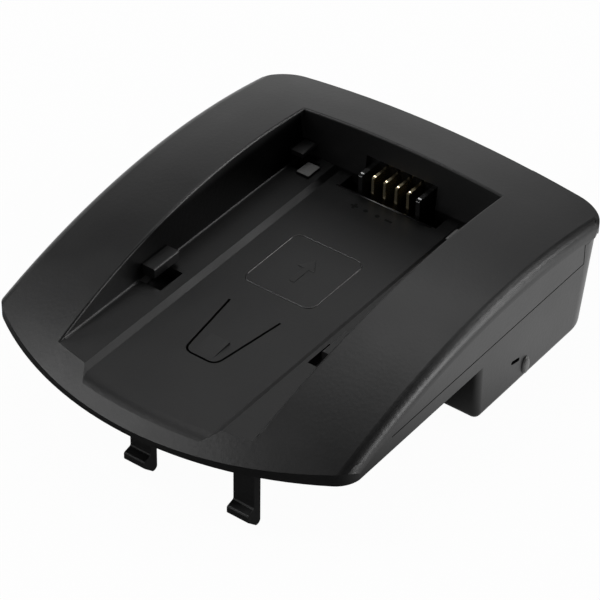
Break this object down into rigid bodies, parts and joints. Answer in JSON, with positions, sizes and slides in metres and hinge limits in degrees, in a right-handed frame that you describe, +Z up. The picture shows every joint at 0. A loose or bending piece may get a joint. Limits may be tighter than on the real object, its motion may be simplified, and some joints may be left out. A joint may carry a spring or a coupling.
{
  "type": "camera battery charger plate",
  "caption": "Clip-on charging plate for a camera battery: arched moulded top with a battery bay, spring tongue and knife contacts, over a bottom cover with a deep contact block and snap hooks.",
  "frame": {"origin": "under the middle of the plate's outline, on the plane of the block's underside and the hook tips", "axes": "+Y to the rear, where the contacts are; +X to the right seen from the front; +Z up"},
  "size_m": [0.0684, 0.082, 0.022],
  "materials": {
    "top_housing": "fine spark-eroded grain, charcoal",
    "bottom_housing": "fine spark-eroded grain, charcoal",
    "holder_plastic": "smooth moulded, grey",
    "contact_gold": "gold-plated stamping",
    "board_laminate": "solder mask",
    "chip_black": "chip body",
    "chip_tan": "ceramic body",
    "screw_steel": "plated steel"
  },
  "bodies": {
    "root": {"top_cover": "top_housing", "bottom_cover": "bottom_housing", "contact_holder": "holder_plastic", "circuit_board": "board_laminate", "coding_resistor": "chip_black", "filter_capacitor": "chip_tan", "cover_screws": "screw_steel", "board_screws": "screw_steel", "battery_contact_1": "contact_gold", "base_contact_1": "contact_gold", "battery_contact_2": "contact_gold", "base_contact_2": "contact_gold", "battery_contact_3": "contact_gold", "base_contact_3": "contact_gold", "battery_contact_4": "contact_gold", "base_contact_4": "contact_gold"}
  },
  "joints": []
}
